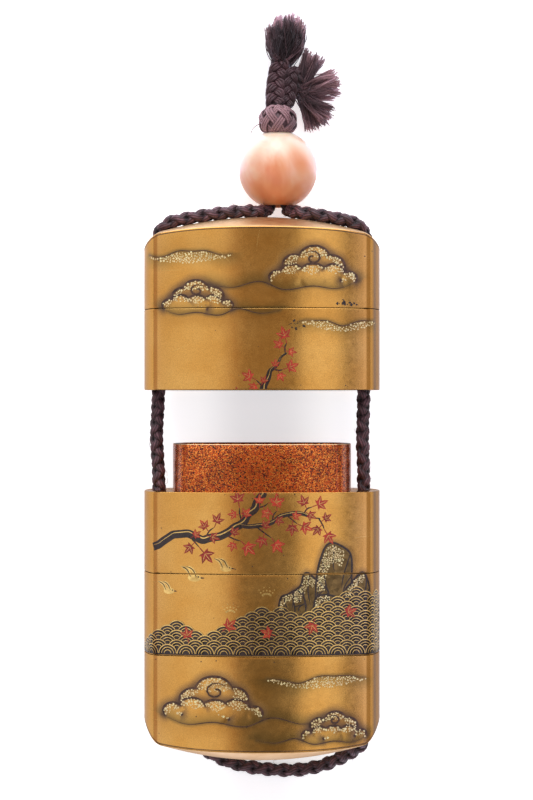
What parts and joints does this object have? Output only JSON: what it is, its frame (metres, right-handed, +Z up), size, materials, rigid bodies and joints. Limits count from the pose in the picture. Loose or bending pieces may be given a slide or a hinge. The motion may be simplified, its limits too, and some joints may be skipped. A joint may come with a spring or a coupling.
{
  "type": "inro case",
  "caption": "Flat lacquered inro of stacked nesting cases with a lid, strung on one silk cord with a round bead, knot and frayed ends.",
  "frame": {"origin": "on the surface it lies on, under the middle of the inro and its bead; the cord, its knot and frayed ends are left out of that middle", "axes": "+Y along the stack from the base to the lid and bead, +X across the width, +Z up out of the front face; the inro lies on its back"},
  "size_m": [0.05, 0.166, 0.024],
  "materials": {
    "gold_lacquer": "gold maki-e lacquer on wood, satin, with a raised picture on the front",
    "coral": "polished pink coral",
    "silk_cord": "braided silk, dark purple-brown, matt"
  },
  "bodies": {
    "root": {"lid": "gold_lacquer", "case_1": "gold_lacquer", "case_2": "gold_lacquer", "case_3": "gold_lacquer", "case_4_base": "gold_lacquer", "ojime_bead": "coral", "cord": "silk_cord", "cord_knot": "silk_cord", "cord_end_upper": "silk_cord", "cord_end_side": "silk_cord"}
  },
  "joints": []
}
